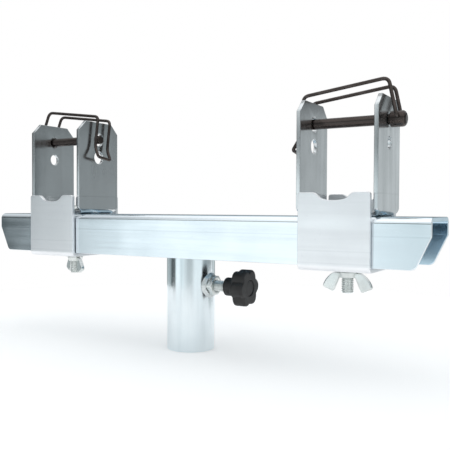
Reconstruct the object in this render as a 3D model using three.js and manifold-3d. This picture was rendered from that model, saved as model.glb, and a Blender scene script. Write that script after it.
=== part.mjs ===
// Truss support bar for a wind-up lighting stand: a folded channel on a socket tube, with two
// sliding carriages that each hold one truss chord between a fork and a wire-locked pin.
// Units are millimetres. The origin is the centre of the socket's lower mouth, X runs along the
// channel, Y across it, +Z up.
import * as THREE from 'three';
import { mergeVertices } from 'three/addons/utils/BufferGeometryUtils.js';
import Module from 'manifold-3d';

const wasm = await Module();
wasm.setup();

// ---- driving dimensions ----
const PLATE = 3.5; // one sheet thickness for every folded part
const FIT = 0.3; // clearance between pieces that touch on the real object

const CHANNEL = {
  left: -228.4, right: 227.1, bottom: 86.5, width: 60, height: 39, bend: 5.5,
  chamferRun: 11.6, chamferRise: 24.6, chamferRound: 5,
};
const SLOT = { inner: 48.5, outer: 199.5, width: 11 };
const SOCKET = { outer: 45, bore: 38 };
const SCREW = { diameter: 10, acrossFlats: 17, nutReach: 6.2, weld: 26, height: 60.5 };
const KNOB = {
  hubStart: 39.6, bodyStart: 51, end: 63.6, hub: 16.6, edge: 1.5,
  lobes: 6, lobeTip: 34, lobeDepth: 3, firstLobe: 5, steps: 60,
};
const CAP = { diameter: 14, depth: 2 };
const BEND = 5; // outside radius of the saddle's and the fork's folds
const SADDLE = { length: 59, gap: 61.7, top: 144.3, notchWidth: 33.5, notchBottom: 138.1, corner: 2.2 };
const FORK = { gap: 60, width: 57.7, top: 219.5, chamfer: 10, relief: 6 };
const PIN = { diameter: 8.5, height: 201.8, proud: 3, head: 12.8, headStart: 1, headLength: 12.4 };
const LOWER_HOLE = 183.4;
const HOLE = { headSide: 11, clipSide: 13 };
// The bail's runs are measured from its pivot towards the clip end, its rises from the pin's axis.
const BAIL = {
  wire: 3, halfGap: 9, endGap: 1.6, pivot: 7.6, shoulderRun: 8.6, shoulderRise: 31,
  cornerRun: 79, cornerRise: 21.3, legDrop: -9.5, tabRun: 84.5, tabDrop: -20,
};
const BOLT = { below: 23.4, head: 24, headHeight: 4.6 };
const WASHER = { outer: 21, thickness: 2 };
const WING = { thickness: 4, hub: 16, hubHeight: 4.6 };

// The bails are bent by hand: the right one's clip end hangs a little lower.
const CARRIAGES = [
  { side: 'left', x: -148.5, clipSide: 1, lean: 8, wingTurn: -24, extraDrop: 0 },
  { side: 'right', x: 154.1, clipSide: -1, lean: 11, wingTurn: 0, extraDrop: 4 },
];

const channelTop = CHANNEL.bottom + CHANNEL.height;
const webUnderside = channelTop - PLATE;
const saddleFloor = CHANNEL.bottom - FIT;
const saddleUnderside = saddleFloor - PLATE;
const forkBase = channelTop + FIT;
const forkFace = FORK.gap / 2 + PLATE;
const radians = THREE.MathUtils.degToRad;
const ARC_STEPS = 5;

const MATERIALS = {
  zinc: new THREE.MeshStandardMaterial({ color: 0xc9d6de, roughness: 0.32, metalness: 0.9 }),
  galvanised: new THREE.MeshStandardMaterial({ color: 0xb4b9bd, roughness: 0.42, metalness: 0.85 }),
  fastener: new THREE.MeshStandardMaterial({ color: 0xcfd4d2, roughness: 0.3, metalness: 0.9 }),
  black_oxide: new THREE.MeshStandardMaterial({ color: 0x2a2523, roughness: 0.4, metalness: 0.8 }),
  black_plastic: new THREE.MeshStandardMaterial({ color: 0x232222, roughness: 0.6, metalness: 0 }),
};

// ---- solids ----
function solid(geometry) {
  const bare = geometry.clone();
  bare.deleteAttribute('normal');
  bare.deleteAttribute('uv');
  const welded = mergeVertices(bare, 1e-4);
  return solidFrom(welded.attributes.position.array, welded.index.array);
}

// Turned shapes meet their axis in triangles without area, which are left out.
function solidFrom(positions, indices) {
  const kept = [];
  for (let i = 0; i < indices.length; i += 3) {
    const [a, b, c] = [indices[i], indices[i + 1], indices[i + 2]];
    if (a !== b && b !== c && c !== a) {
      kept.push(a, b, c);
    }
  }
  return new wasm.Manifold(new wasm.Mesh({
    numProp: 3,
    vertProperties: new Float32Array(positions),
    triVerts: new Uint32Array(kept),
  }));
}

function geometryOf(body) {
  const mesh = body.getMesh();
  const geometry = new THREE.BufferGeometry();
  geometry.setAttribute('position', new THREE.BufferAttribute(new Float32Array(mesh.vertProperties), 3));
  geometry.setIndex(new THREE.BufferAttribute(new Uint32Array(mesh.triVerts), 1));
  const flat = geometry.toNonIndexed();
  flat.computeVertexNormals();
  return flat;
}

// Where local Z goes for a piece that runs along X, Y or Z. A shape that runs along Y is drawn as
// (x, z), which takes local Z to -Y.
const ALONG = {
  x: new THREE.Matrix4().makeBasis(
    new THREE.Vector3(0, 1, 0), new THREE.Vector3(0, 0, 1), new THREE.Vector3(1, 0, 0)),
  y: new THREE.Matrix4().makeBasis(
    new THREE.Vector3(1, 0, 0), new THREE.Vector3(0, 0, 1), new THREE.Vector3(0, -1, 0)),
  z: new THREE.Matrix4(),
};

function prism(shape, axis, from, to, curveSegments = 6) {
  const geometry = new THREE.ExtrudeGeometry(shape, {
    depth: to - from, bevelEnabled: false, curveSegments,
  });
  geometry.translate(0, 0, axis === 'y' ? -to : from);
  geometry.applyMatrix4(ALONG[axis]);
  return solid(geometry);
}

function rod(axis, diameter, from, to, centre = [0, 0, 0], segments = 24) {
  const geometry = new THREE.CylinderGeometry(diameter / 2, diameter / 2, to - from, segments);
  geometry.rotateX(Math.PI / 2);
  geometry.translate(0, 0, axis === 'y' ? -(from + to) / 2 : (from + to) / 2);
  geometry.applyMatrix4(ALONG[axis]);
  geometry.translate(...centre);
  return solid(geometry);
}

// A body of revolution: profile points are [radius, distance along the axis], going up outside.
function turned(axis, profile, height = 0, segments = 24) {
  const geometry = new THREE.LatheGeometry(profile.map(([r, h]) => new THREE.Vector2(r, h)), segments);
  geometry.rotateX(Math.PI / 2);
  geometry.applyMatrix4(ALONG[axis]);
  geometry.translate(0, 0, height);
  return solid(geometry);
}

function block(x, y, z) {
  const geometry = new THREE.BoxGeometry(x[1] - x[0], y[1] - y[0], z[1] - z[0]);
  geometry.translate((x[0] + x[1]) / 2, (y[0] + y[1]) / 2, (z[0] + z[1]) / 2);
  return solid(geometry);
}

function polygon(points) {
  return new THREE.Shape(points.map(([a, b]) => new THREE.Vector2(a, b)));
}

// Section of a sheet folded into a U. The web's outer face is at height `web` and the two flanges
// end at height `rim`, above it or below it.
function foldedU(innerWidth, web, rim, bend) {
  const up = Math.sign(rim - web);
  const inner = innerWidth / 2;
  const outer = inner + PLATE;
  const innerBend = bend - PLATE;
  const arc = (side, radius, reach) => Array.from({ length: ARC_STEPS + 1 }, (_, i) => {
    const angle = (Math.PI / 2) * (i / ARC_STEPS);
    return [side * (reach - radius * (1 - Math.cos(angle))), bend - radius * Math.sin(angle)];
  });
  const outside = arc(1, bend, outer);
  const inside = arc(-1, innerBend, inner);
  const half = [[inner, Math.abs(rim - web)], [outer, Math.abs(rim - web)], ...outside];
  const points = [
    ...half, ...outside.map(([x, d]) => [-x, d]).reverse(), [-outer, Math.abs(rim - web)],
    [-inner, Math.abs(rim - web)], ...inside, ...inside.map(([x, d]) => [-x, d]).reverse(),
  ];
  return polygon(points.map(([x, d]) => [x, web + up * d]));
}

// ---- the bar ----
function channel() {
  const section = foldedU(CHANNEL.width - 2 * PLATE, channelTop, CHANNEL.bottom, CHANNEL.bend);
  let body = prism(section, 'x', CHANNEL.left, CHANNEL.right);
  body = body.subtract(flangeCorner(CHANNEL.left, 1)).subtract(flangeCorner(CHANNEL.right, -1));
  for (const side of [-1, 1]) {
    body = body.subtract(slot(side));
  }
  return body;
}

// What is cut off both flanges at one end: a slant with a rounded foot.
function flangeCorner(end, inward) {
  const { bottom, chamferRun: run, chamferRise: rise, chamferRound: round } = CHANNEL;
  const slant = Math.atan2(rise, run);
  const foot = run + round * Math.tan(slant / 2);
  const arc = Array.from({ length: ARC_STEPS + 1 }, (_, i) => {
    const angle = slant * (1 - i / ARC_STEPS);
    return [end + inward * (foot - round * Math.sin(angle)), bottom + round * (1 - Math.cos(angle))];
  });
  return prism(polygon([
    [end - inward, bottom + rise * (1 + 1 / run)], ...arc,
    [end + inward * foot, bottom - 1], [end - inward, bottom - 1],
  ]), 'y', -CHANNEL.width, CHANNEL.width);
}

function slot(side) {
  const radius = SLOT.width / 2;
  const ends = [side * (SLOT.inner + radius), side * (SLOT.outer - radius)].sort((a, b) => a - b);
  const [low, high] = [webUnderside - 1, channelTop + 1];
  return rod('z', SLOT.width, low, high, [ends[0], 0, 0])
    .add(rod('z', SLOT.width, low, high, [ends[1], 0, 0]))
    .add(block(ends, [-radius, radius], [low, high]));
}

function socketTube() {
  const top = webUnderside - FIT;
  return rod('z', SOCKET.outer, 0, top, [0, 0, 0], 48)
    .subtract(rod('z', SOCKET.bore, -1, top + 1, [0, 0, 0], 48))
    .subtract(rod('x', SCREW.diameter + 1, 0, SOCKET.outer, [0, 0, SCREW.height]));
}

function socketWeld() {
  const inner = SOCKET.outer / 2 + FIT;
  const top = webUnderside - FIT;
  const leg = 2.5;
  return turned('z', [
    [inner, top - leg * 1.4], [inner + leg * 0.55, top - leg], [inner + leg * 0.9, top - leg * 0.45],
    [inner + leg, top], [inner, top], [inner, top - leg * 1.4],
  ], 0, 40);
}

function nutPrism(acrossFlats) {
  const hex = polygon(Array.from({ length: 6 }, (_, i) => {
    const angle = radians(60 * i);
    const radius = acrossFlats / 2 / Math.cos(Math.PI / 6);
    return [radius * Math.cos(angle), radius * Math.sin(angle)];
  }));
  return prism(hex, 'x', SOCKET.bore / 2, SOCKET.outer / 2 + SCREW.nutReach).translate([0, 0, SCREW.height]);
}

const tubeClearance = () => rod('z', SOCKET.outer + 2 * FIT, 0, CHANNEL.bottom, [0, 0, 0], 48);

function clampNut() {
  return nutPrism(SCREW.acrossFlats)
    .subtract(tubeClearance())
    .subtract(rod('x', SCREW.diameter + 2 * FIT, 0, KNOB.end, [0, 0, SCREW.height]));
}

// The fillet weld that holds the nut to the tube.
function nutWeld() {
  const { weld } = SCREW;
  const face = SOCKET.outer / 2;
  return turned('x', [
    [0, face - 5], [weld / 2, face - 5], [weld / 2, face - 2.6], [weld / 2 - 1.4, face + 0.6],
    [weld / 2 - 2.6, face + 2.2], [0, face + 2.2],
  ], SCREW.height)
    .subtract(tubeClearance())
    .subtract(nutPrism(SCREW.acrossFlats + 2 * FIT));
}

function clampStud() {
  const tip = SOCKET.bore / 2 + 0.5;
  const end = KNOB.hubStart - FIT;
  const radius = SCREW.diameter / 2;
  return turned('x', [[0, tip], [radius - 1.2, tip], [radius, tip + 1.2], [radius, end], [0, end]],
    SCREW.height);
}

// Six rounded lobes: the outline's radius swells and dips once per lobe.
function knobOutline(tip) {
  const valley = tip - KNOB.lobeDepth;
  return polygon(Array.from({ length: KNOB.steps }, (_, i) => {
    const angle = (2 * Math.PI * i) / KNOB.steps;
    const phase = Math.cos(KNOB.lobes * (angle - radians(KNOB.firstLobe)));
    const radius = valley + KNOB.lobeDepth * ((1 + phase) / 2) ** 0.6;
    return [radius * Math.cos(angle), radius * Math.sin(angle)];
  }));
}

function knobBody() {
  const tip = KNOB.lobeTip / 2;
  const { bodyStart, end, edge } = KNOB;
  return prism(knobOutline(tip), 'x', bodyStart, end - edge)
    .add(prism(knobOutline(tip - edge), 'x', bodyStart + edge, end))
    .add(rod('x', KNOB.hub, KNOB.hubStart, bodyStart + edge))
    .subtract(rod('x', CAP.diameter + 2 * FIT, end - CAP.depth - FIT, end + 1))
    .translate([0, 0, SCREW.height]);
}

function knobCap() {
  const start = KNOB.end - CAP.depth;
  const radius = CAP.diameter / 2;
  return turned('x', [[0, start], [radius, start], [radius, start + 1], [radius - 1, start + 1.4], [0, start + 1.4]],
    SCREW.height);
}

// ---- one carriage, built round x = 0 ----
function saddle() {
  const half = SADDLE.length / 2;
  const section = foldedU(SADDLE.gap, saddleUnderside, SADDLE.top, BEND);
  return prism(section, 'x', -half, half)
    .intersect(prism(saddleOutline(half), 'y', -CHANNEL.width, CHANNEL.width))
    .subtract(rod('z', SCREW.diameter + 1, saddleUnderside - 1, saddleFloor + 1));
}

// Side view of the saddle. The notch has rounded shoulders and a round floor.
function saddleOutline(half) {
  const { top, notchBottom: low, corner } = SADDLE;
  const middle = (top + low) / 2;
  const [lip, shoulder, waist, floor] = [1.05, 0.88, 0.72, 0.56].map((f) => (f * SADDLE.notchWidth) / 2);
  const outline = new THREE.Shape();
  outline.moveTo(-half, saddleUnderside - 1);
  outline.lineTo(half, saddleUnderside - 1);
  outline.absarc(half - corner, top - corner, corner, 0, Math.PI / 2, false);
  outline.lineTo(lip, top);
  outline.quadraticCurveTo(shoulder, top, waist, middle);
  outline.quadraticCurveTo(floor, low, 0, low);
  outline.quadraticCurveTo(-floor, low, -waist, middle);
  outline.quadraticCurveTo(-shoulder, top, -lip, top);
  outline.absarc(corner - half, top - corner, corner, Math.PI / 2, Math.PI, false);
  return outline;
}

function fork(clipSide) {
  const half = FORK.width / 2;
  const section = foldedU(FORK.gap, forkBase, FORK.top, BEND);
  const { chamfer, relief, top } = FORK;
  const outline = polygon([
    [-half + relief, forkBase - 1], [half - relief, forkBase - 1], [half - relief, forkBase],
    [half, forkBase + relief], [half, top - chamfer], [half - chamfer, top],
    [chamfer - half, top], [-half, top - chamfer], [-half, forkBase + relief], [-half + relief, forkBase],
  ]);
  let body = prism(section, 'y', -half, half).intersect(prism(outline, 'x', -forkFace - 1, forkFace + 1));
  for (const height of [PIN.height, LOWER_HOLE]) {
    for (const side of [-1, 1]) {
      const diameter = side === clipSide ? HOLE.clipSide : HOLE.headSide;
      const ends = [side * (FORK.gap / 2 - 1), side * (forkFace + 1)].sort((a, b) => a - b);
      body = body.subtract(rod('x', diameter, ...ends, [0, 0, height]));
    }
  }
  const neck = SCREW.diameter / 2 + FIT;
  return body.subtract(block([-neck, neck], [-neck, neck], [forkBase - 1, forkBase + PLATE + 1]));
}

function clampBolt() {
  const seat = forkBase + PLATE + FIT;
  const end = CHANNEL.bottom - BOLT.below;
  const radius = SCREW.diameter / 2;
  const head = BOLT.head / 2;
  return turned('z', [
    [0, end], [radius - 1.2, end], [radius, end + 1.2], [radius, seat], [head, seat],
    [head, seat + 1], [head * 0.8, seat + 3], [head * 0.45, seat + 4.2], [0, seat + BOLT.headHeight],
  ]);
}

const washerTop = saddleUnderside - FIT;
const wingNutTop = washerTop - WASHER.thickness - FIT;

function washer() {
  const bottom = washerTop - WASHER.thickness;
  return rod('z', WASHER.outer, bottom, washerTop)
    .subtract(rod('z', SCREW.diameter + 1, bottom - 1, washerTop + 1));
}

// Broad blunt wings point down and out from a low tapered hub.
function wingNut(turn) {
  const { hub, hubHeight, thickness } = WING;
  const low = wingNutTop - hubHeight;
  let body = turned('z', [[0, low], [hub / 2 - 2, low], [hub / 2, wingNutTop], [0, wingNutTop]]);
  for (const side of [-1, 1]) {
    const outline = new THREE.Shape();
    const at = (run, drop) => [side * run, wingNutTop - drop];
    outline.moveTo(...at(5.5, 0));
    outline.lineTo(...at(12.2, 0.5));
    outline.quadraticCurveTo(...at(18.4, 4.6), ...at(21, 11));
    outline.quadraticCurveTo(...at(21.4, 12.9), ...at(19.8, 13.6));
    outline.lineTo(...at(14, 16));
    outline.quadraticCurveTo(...at(11.9, 16.8), ...at(11.2, 15));
    outline.lineTo(...at(8, 7.6));
    outline.lineTo(...at(7, hubHeight - 1));
    outline.lineTo(...at(5.5, hubHeight - 1));
    body = body.add(prism(outline, 'y', -thickness / 2, thickness / 2, 5));
  }
  return body.subtract(rod('z', SCREW.diameter + 2 * FIT, low - 1, wingNutTop + 1)).rotate([0, 0, turn]);
}

// ---- the lock pin, built with its head towards +X ----
function pin() {
  const radius = PIN.diameter / 2;
  const clipEnd = -forkFace - PIN.proud;
  const headEnd = forkFace + PIN.headStart - FIT;
  return turned('x', [
    [0, clipEnd], [radius - 1, clipEnd], [radius, clipEnd + 1], [radius, headEnd], [0, headEnd],
  ], PIN.height);
}

function pinHead(lean) {
  const start = forkFace + PIN.headStart;
  const end = start + PIN.headLength;
  const radius = PIN.head / 2;
  return turned('x', [
    [0, start], [radius - 0.8, start], [radius, start + 0.8], [radius, end - 3],
    [radius - 1, end - 1.2], [radius - 3, end], [0, end],
  ])
    .subtract(rod('y', BAIL.wire + 2 * FIT, -PIN.head, PIN.head, [forkFace + BAIL.pivot, 0, 0], 12))
    .rotate([-lean, 0, 0])
    .translate([0, 0, PIN.height]);
}

// One bent wire. Each leg rises from the pivot, crosses over both fork plates, drops outside the far
// one and flares outwards. A bar joins the two legs there, and their other ends enter the head.
function bail(lean, extraDrop) {
  const { halfGap, legDrop, shoulderRun, shoulderRise, cornerRun, cornerRise, tabRun, tabDrop } = BAIL;
  const at = (run, rise, y) => new THREE.Vector3(forkFace + BAIL.pivot - run, y, rise);
  const [kink, end] = [legDrop - extraDrop, tabDrop - extraDrop];
  const leg = (side) => [
    at(0, 0, side * (halfGap - 1)), at(0.4, 1.6, side * halfGap),
    at(shoulderRun - 1.8, shoulderRise - 5, side * halfGap),
    at(shoulderRun, shoulderRise - 1.2, side * halfGap),
    at(shoulderRun + 4.6, shoulderRise - 0.6, side * halfGap),
    at(cornerRun - 4, cornerRise + 0.5, side * halfGap),
    at(cornerRun - 0.9, cornerRise - 1, side * halfGap),
    at(cornerRun, cornerRise - 4.4, side * halfGap),
    at(cornerRun, kink + 1.2, side * halfGap),
    at(cornerRun + 0.8, kink - 1.6, side * halfGap),
    at(tabRun - 0.6, end + 1.8, side * halfGap),
    at(tabRun, end, side * (halfGap - 1.6)),
  ];
  const path = [at(0, 0, -BAIL.endGap), ...leg(-1), ...leg(1).reverse(), at(0, 0, BAIL.endGap)];
  return sweptWire(path, BAIL.wire).rotate([-lean, 0, 0]).translate([0, 0, PIN.height]);
}

// A round wire mitred at every bend of its path.
function sweptWire(path, diameter, sides = 10) {
  const run = path.slice(1).map((point, i) => point.clone().sub(path[i]).normalize());
  const positions = [];
  let across = new THREE.Vector3(1, 0, 0);
  path.forEach((point, i) => {
    const before = run[Math.max(i - 1, 0)];
    const after = run[Math.min(i, run.length - 1)];
    const mitre = before.clone().add(after).normalize();
    across = across.addScaledVector(before, -across.dot(before)).normalize();
    const up = new THREE.Vector3().crossVectors(before, across);
    for (let k = 0; k < sides; k += 1) {
      const angle = (2 * Math.PI * k) / sides;
      const offset = across.clone().multiplyScalar(Math.cos(angle)).addScaledVector(up, Math.sin(angle));
      offset.addScaledVector(before, -offset.dot(mitre) / before.dot(mitre));
      positions.push(...offset.multiplyScalar(diameter / 2).add(point).toArray());
    }
  });
  const last = path.length - 1;
  const caps = [positions.length / 3, positions.length / 3 + 1];
  positions.push(...path[0].toArray(), ...path[last].toArray());
  const at = (ring, k) => ring * sides + (k % sides);
  const indices = [];
  for (let k = 0; k < sides; k += 1) {
    for (let ring = 0; ring < last; ring += 1) {
      indices.push(at(ring, k), at(ring, k + 1), at(ring + 1, k + 1));
      indices.push(at(ring, k), at(ring + 1, k + 1), at(ring + 1, k));
    }
    indices.push(caps[0], at(0, k + 1), at(0, k), caps[1], at(last, k), at(last, k + 1));
  }
  return solidFrom(positions, indices);
}

// ---- assembly ----
const group = new THREE.Group();
group.name = 'truss_support_bar';

function addPiece(name, body, material) {
  const mesh = new THREE.Mesh(geometryOf(body), MATERIALS[material]);
  mesh.name = name;
  group.add(mesh);
}

addPiece('crossbar_channel', channel(), 'zinc');
addPiece('socket_tube', socketTube(), 'zinc');
addPiece('socket_weld', socketWeld(), 'galvanised');
addPiece('clamp_nut', clampNut(), 'fastener');
addPiece('nut_weld', nutWeld(), 'galvanised');
addPiece('clamp_stud', clampStud(), 'fastener');
addPiece('knob_body', knobBody(), 'black_plastic');
addPiece('knob_cap', knobCap(), 'black_plastic');

for (const { side, x, clipSide, lean, wingTurn, extraDrop } of CARRIAGES) {
  const place = (name, body, material) => addPiece(`${side}_${name}`, body.translate([x, 0, 0]), material);
  const towardsHead = (body) => (clipSide > 0 ? body.mirror([1, 0, 0]) : body);
  place('saddle', saddle(), 'galvanised');
  place('fork', fork(clipSide), 'galvanised');
  place('clamp_bolt', clampBolt(), 'fastener');
  place('washer', washer(), 'fastener');
  place('wing_nut', wingNut(wingTurn), 'fastener');
  place('pin', towardsHead(pin()), 'black_oxide');
  place('pin_head', towardsHead(pinHead(lean)), 'black_oxide');
  place('bail', towardsHead(bail(lean, extraDrop)), 'black_oxide');
}

export default group;
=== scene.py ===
"""Looks for the truss support bar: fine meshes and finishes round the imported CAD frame.

Lengths written as numbers are millimetres and go through mm(). Places come from the CAD nodes' boxes.
A shell is a pair (vertices, faces).
"""
import math

import bmesh
import bpy
from mathutils import Matrix, Vector, noise
from mathutils.geometry import delaunay_2d_cdt


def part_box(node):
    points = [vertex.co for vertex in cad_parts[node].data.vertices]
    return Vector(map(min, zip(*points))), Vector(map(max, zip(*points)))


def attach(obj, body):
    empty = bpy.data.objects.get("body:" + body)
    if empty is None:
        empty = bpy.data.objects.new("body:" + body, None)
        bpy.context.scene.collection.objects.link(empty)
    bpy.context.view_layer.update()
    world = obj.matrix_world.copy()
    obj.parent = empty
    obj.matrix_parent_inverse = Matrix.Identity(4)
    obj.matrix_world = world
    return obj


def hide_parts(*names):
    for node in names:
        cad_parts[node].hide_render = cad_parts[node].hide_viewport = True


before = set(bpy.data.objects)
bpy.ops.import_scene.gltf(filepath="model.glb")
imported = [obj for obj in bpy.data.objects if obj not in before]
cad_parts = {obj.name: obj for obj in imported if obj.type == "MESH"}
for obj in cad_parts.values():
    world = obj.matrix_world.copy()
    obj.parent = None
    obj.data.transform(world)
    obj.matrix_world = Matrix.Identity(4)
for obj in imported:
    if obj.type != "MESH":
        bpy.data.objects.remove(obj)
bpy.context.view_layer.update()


def mm(value):
    return value / 1000.0


# ---------------------------------------------------------------- driving dimensions
SIDES = ("left", "right")
OUTWARD = {"left": -1, "right": 1}

PLATE = mm(3.5)  # sheet thickness of every folded piece
EDGE = mm(0.45)  # rounding of sheared and punched edges
ROUND_MIDDLE = 0.3  # how far in the middle of a rounded edge lies, as a share of its radius
BEAM_BEND, CARRIAGE_BEND, BEND_STEPS = mm(5.5), mm(5), 8

END_RUN, END_RISE, END_FOOT = mm(11.6), mm(24.6), mm(5)  # the slant of a flange's corner, rounded at its foot
SLOT_INNER, SLOT_OUTER, SLOT_WIDTH = mm(48.5), mm(199.5), mm(11)
NOTCH_HALF, NOTCH_DIP, SADDLE_CORNER = mm(16.75), mm(6.2), mm(2.2)
FORK_CHAMFER, FORK_RELIEF, PIN_HOLE_SPACING = mm(10), mm(6), mm(18.4)
PIN_HOLE, CLIP_HOLE, BOLT_HOLE, FORK_BOLT_HOLE = mm(5.5), mm(6.5), mm(5.5), mm(5.6)  # radii

SCREW, PITCH, THREAD_DEPTH = mm(10), mm(1.5), mm(0.85)
TUBE_BORE = mm(19)  # radius
WING_HUB_HEIGHT, WING_THICKNESS, WING_EDGE = mm(4.6), mm(4), mm(1.1)
WING_TURN = {"left": math.radians(-24), "right": 0.0}
BAIL_WIRE = mm(3)
BAIL_LEAN = {"left": math.radians(8), "right": math.radians(11)}
BAIL_EXTRA_DROP = {"left": 0, "right": 4}
KNOB_LOBES, KNOB_TIP, KNOB_LOBE_DEPTH, KNOB_FIRST_LOBE = 6, mm(17), mm(3), math.radians(5)

CAMERA_PLACE = Vector((0.33166, -0.49078, 0.13073))
CAMERA_YAW, CAMERA_PITCH, CAMERA_ROLL = (math.radians(angle) for angle in (30.97, -1.43, 0.22))
CAMERA_LENS, CAMERA_SENSOR = 50.29, 36  # millimetres

CHANNEL_LOW, CHANNEL_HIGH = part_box("crossbar_channel")
TUBE_LOW, TUBE_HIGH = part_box("socket_tube")
TUBE_RADIUS = (TUBE_HIGH.x - TUBE_LOW.x) / 2


# ---------------------------------------------------------------- camera, made first
def make_camera():
    """Nearly level with the bar, in front of its right end."""
    data = bpy.data.cameras.new("camera")
    data.lens = CAMERA_LENS
    data.sensor_width = CAMERA_SENSOR
    data.clip_start = 0.01
    camera = bpy.data.objects.new("camera", data)
    bpy.context.scene.collection.objects.link(camera)
    turn = Matrix.Rotation(CAMERA_YAW, 4, "Z")
    tilt = Matrix.Rotation(math.pi / 2 + CAMERA_PITCH, 4, "X")
    roll = Matrix.Rotation(CAMERA_ROLL, 4, "Z")
    camera.matrix_world = Matrix.Translation(CAMERA_PLACE) @ turn @ tilt @ roll
    bpy.context.scene.camera = camera


make_camera()


# ---------------------------------------------------------------- node helpers
class Nodes:
    """Short names for building one material's or world's node tree."""

    def __init__(self, tree):
        self.tree = tree

    def add(self, kind, inputs=None, **settings):
        node = self.tree.nodes.new(kind)
        for key, value in settings.items():
            setattr(node, key, value)
        for key, value in (inputs or {}).items():
            if isinstance(value, bpy.types.NodeSocket):
                self.tree.links.new(value, node.inputs[key])
            else:
                node.inputs[key].default_value = value
        return node

    def place(self, scale=(1, 1, 1)):
        """Object coordinates in metres, stretched by scale."""
        source = self.add("ShaderNodeTexCoord").outputs["Object"]
        return self.add("ShaderNodeMapping", {"Vector": source, "Scale": scale}).outputs[0]

    def coordinate(self, axis):
        """One object coordinate in metres: axis 0, 1 or 2."""
        return self.add("ShaderNodeSeparateXYZ", {"Vector": self.place()}).outputs[axis]

    def noise(self, scale, detail=3.0, stretch=(1, 1, 1), roughness=0.5):
        """Noise with about `scale` lumps to a metre, before the stretch."""
        inputs = {"Vector": self.place(stretch), "Scale": scale, "Detail": detail, "Roughness": roughness}
        return self.add("ShaderNodeTexNoise", inputs).outputs["Fac"]

    def remap(self, value, low, high, to_low, to_high):
        """Carries the range low to high over to the range to_low to to_high, and holds it there."""
        inputs = {"Value": value, "From Min": low, "From Max": high, "To Min": to_low, "To Max": to_high}
        return self.add("ShaderNodeMapRange", inputs).outputs[0]

    def math(self, operation, a, b=0.0):
        return self.add("ShaderNodeMath", {0: a, 1: b}, operation=operation).outputs[0]

    def mix(self, factor, a, b, blend="MIX"):
        """Mixes two colours, each a socket or (red, green, blue)."""
        colours = [(*colour, 1) if isinstance(colour, tuple) else colour for colour in (a, b)]
        inputs = {0: factor, 6: colours[0], 7: colours[1]}
        return self.add("ShaderNodeMix", inputs, data_type="RGBA", blend_type=blend).outputs[2]

    def ramp(self, value, stops):
        """A colour ramp through stops of (place from 0 to 1, (red, green, blue))."""
        node = self.add("ShaderNodeValToRGB", {"Fac": value})
        elements = node.color_ramp.elements
        for index, (place, colour) in enumerate(stops):
            stop = elements[index] if index < 2 else elements.new(place)
            stop.position = place
            stop.color = (*colour, 1)
        return node.outputs["Color"]

    def bump(self, height, strength, distance, normal=None):
        inputs = {"Height": height, "Strength": strength, "Distance": distance}
        if normal is not None:
            inputs["Normal"] = normal
        return self.add("ShaderNodeBump", inputs).outputs[0]


def new_material(name, metallic):
    """A new material, its nodes, and its Principled shader."""
    material = bpy.data.materials.new(name)
    material.use_nodes = True
    shader = material.node_tree.nodes["Principled BSDF"]
    shader.inputs["Metallic"].default_value = metallic
    return material, Nodes(material.node_tree), shader


def connect(nodes, shader, **links):
    """Links values to the shader's sockets, which are named with _ for each space."""
    for key, value in links.items():
        nodes.tree.links.new(value, shader.inputs[key.replace("_", " ")])


# ---------------------------------------------------------------- materials
def plated_steel(name, colour, dull, stain, rough, grain, spangle, marks=(), texture=0.08, inner=None):
    """Zinc plated steel: streaks along the grain, cloudy passivation, small spots and fine pits.

    colour, dull and stain are the tones of clean zinc, of the clouds, and of the streaks and spots.
    spangle is how strong the spots are, and texture how deep the streaks and pits. marks are the
    heights of the lines that a press brake leaves beside a fold. inner is (half width, shade colour): the
    metal nearer to the plane y = 0 than the half width takes on the shade colour, as painted shade.
    """
    material, nodes, shader = new_material(name, 1.0)
    streaks = nodes.noise(scale=90, detail=4, stretch=grain, roughness=0.6)
    clouds = nodes.noise(scale=22, detail=3)
    pits = nodes.noise(scale=1400, detail=2)
    spots = nodes.noise(scale=260, detail=2)
    tone = nodes.mix(nodes.remap(clouds, 0.35, 0.7, 0, 1), colour, dull)
    tone = nodes.mix(nodes.remap(streaks, 0.45, 0.8, 0, 0.35), tone, stain)
    tone = nodes.mix(nodes.remap(spots, 0.62, 0.75, 0, spangle), tone, stain)
    # Painted shade: metal nearer the plane y = 0 than the half width, the channel's inside, is darkened
    # towards blue.
    if inner:
        half_width, painted_shade_tint = inner
        away = nodes.math("ABSOLUTE", nodes.coordinate(1))
        depth = nodes.remap(away, half_width, half_width + mm(1), 1, 0)
        tone = nodes.mix(nodes.math("MULTIPLY", depth, 0.8), tone, painted_shade_tint)
    roughness = nodes.math("ADD", nodes.remap(streaks, 0.3, 0.7, rough - 0.05, rough + 0.06),
                           nodes.remap(clouds, 0.3, 0.7, -0.03, 0.06))
    height = nodes.math("ADD", nodes.math("MULTIPLY", streaks, 0.6), nodes.math("MULTIPLY", pits, 0.4))
    normal = nodes.bump(height, texture, mm(0.2))
    for place in marks:
        away = nodes.math("ABSOLUTE", nodes.math("SUBTRACT", nodes.coordinate(2), place))
        groove = nodes.remap(away, 0.0, mm(0.9), 1.0, 0.0)
        tone = nodes.mix(nodes.math("MULTIPLY", groove, 0.28), tone, stain)
        normal = nodes.bump(nodes.math("MULTIPLY", groove, -1.0), 0.1, mm(0.3), normal)
    connect(nodes, shader, Base_Color=tone, Roughness=roughness, Normal=normal)
    return material


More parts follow.
